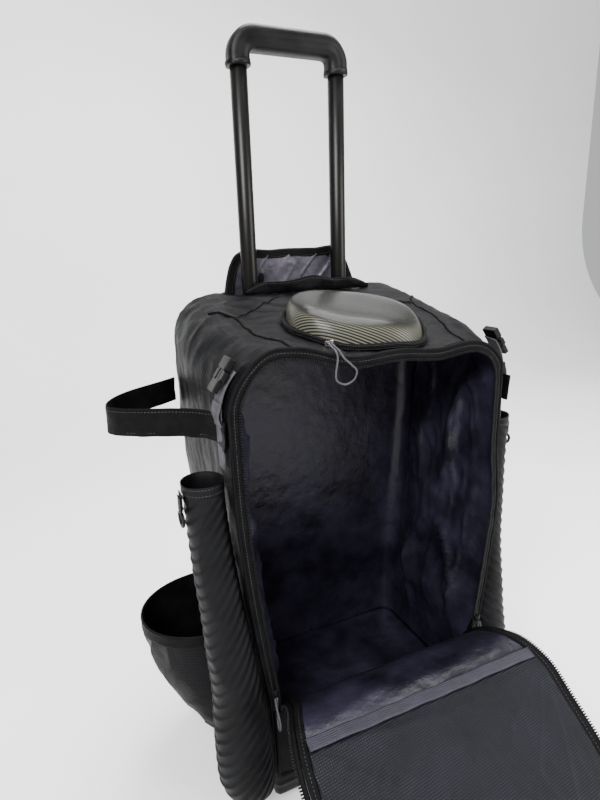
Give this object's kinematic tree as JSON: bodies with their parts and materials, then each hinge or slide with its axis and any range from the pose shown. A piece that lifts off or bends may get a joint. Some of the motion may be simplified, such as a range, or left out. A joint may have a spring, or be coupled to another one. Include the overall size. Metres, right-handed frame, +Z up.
{
  "type": "baseball bat backpack",
  "caption": "Wheeled catcher's bag with a pull handle and shoulder straps, standing open: ribbed bat sleeves, side pockets, a hard dome pocket on top and a net-lined front flap hanging forward.",
  "frame": {"origin": "middle of the front foot's underside, on the ground, below the opening", "axes": "+X to the right seen from the front, -Y out of the open front, +Z up along the pull handle"},
  "size_m": [0.6328, 0.7013, 1.0721],
  "materials": {
    "outer_nylon": "black ripstop nylon, padded",
    "lining_satin": "shiny purple-grey lining cloth",
    "black_trim": "black woven binding and zip tape",
    "flap_trim": "dark purple-grey woven binding",
    "net": "fine black net over dark lining",
    "ribbed_cloth": "ribbed black cloth",
    "grey_webbing": "grey webbing and cord",
    "black_plastic": "satin black",
    "shell_plastic": "woven pattern under a gloss coat",
    "black_tube": "satin black",
    "bright_metal": "plated, bright",
    "wheel_rubber": "black, worn",
    "foot_rubber": "black"
  },
  "bodies": {
    "bag": {"top_panel": "outer_nylon", "side_panel_left": "outer_nylon", "side_panel_right": "outer_nylon", "back_panel": "outer_nylon", "lower_front_panel": "outer_nylon", "flap": "outer_nylon", "side_pocket_left": "outer_nylon", "side_pocket_right": "outer_nylon", "hood": "outer_nylon", "handle_lip": "outer_nylon", "back_pad": "outer_nylon", "shoulder_strap_left": "outer_nylon", "shoulder_strap_right": "outer_nylon", "main_lining": "lining_satin", "opening_zip": "black_trim", "shell_zip": "black_trim", "hood_binding": "black_trim", "guard_strap_left": "black_trim", "guard_strap_right": "black_trim", "flap_binding": "flap_trim", "net_binding": "flap_trim", "flap_net": "net", "bat_sleeve_left": "ribbed_cloth", "bat_sleeve_right": "ribbed_cloth", "bat_strap_left": "grey_webbing", "bat_strap_right": "grey_webbing", "strap_webbing_left": "grey_webbing", "strap_webbing_right": "grey_webbing", "zip_pull_left": "grey_webbing", "zip_pull_right": "grey_webbing", "shell_pull": "grey_webbing", "bat_buckle_left": "black_plastic", "bat_buckle_right": "black_plastic", "ring_left": "black_plastic", "ring_right": "black_plastic", "handle_plate": "black_plastic", "base_tray": "black_plastic", "wheel_housing_left": "black_plastic", "wheel_housing_right": "black_plastic", "zip_slider_left": "black_plastic", "zip_slider_right": "black_plastic", "shell_pocket": "shell_plastic", "outer_tube_left": "black_tube", "outer_tube_right": "black_tube", "shell_slider": "bright_metal", "wheel_axle_left": "bright_metal", "wheel_axle_right": "bright_metal", "front_foot": "foot_rubber"},
    "handle": {"grip": "black_plastic", "handle_tube_left": "black_tube", "handle_tube_right": "black_tube"},
    "wheel_left": {"tyre_left": "wheel_rubber", "hub_left": "black_plastic"},
    "wheel_right": {"tyre_right": "wheel_rubber", "hub_right": "black_plastic"}
  },
  "joints": [
    {"name": "handle_slide", "type": "slide", "parent": "bag", "child": "handle", "axis": [0, 0, 1], "range_m": [-0.3, 0]},
    {"name": "wheel_left_spin", "type": "hinge", "parent": "bag", "child": "wheel_left", "pos_m": [-0.151, 0.257, 0.038], "axis": [1, 0, 0], "continuous": true},
    {"name": "wheel_right_spin", "type": "hinge", "parent": "bag", "child": "wheel_right", "pos_m": [0.151, 0.257, 0.038], "axis": [1, 0, 0], "continuous": true}
  ]
}
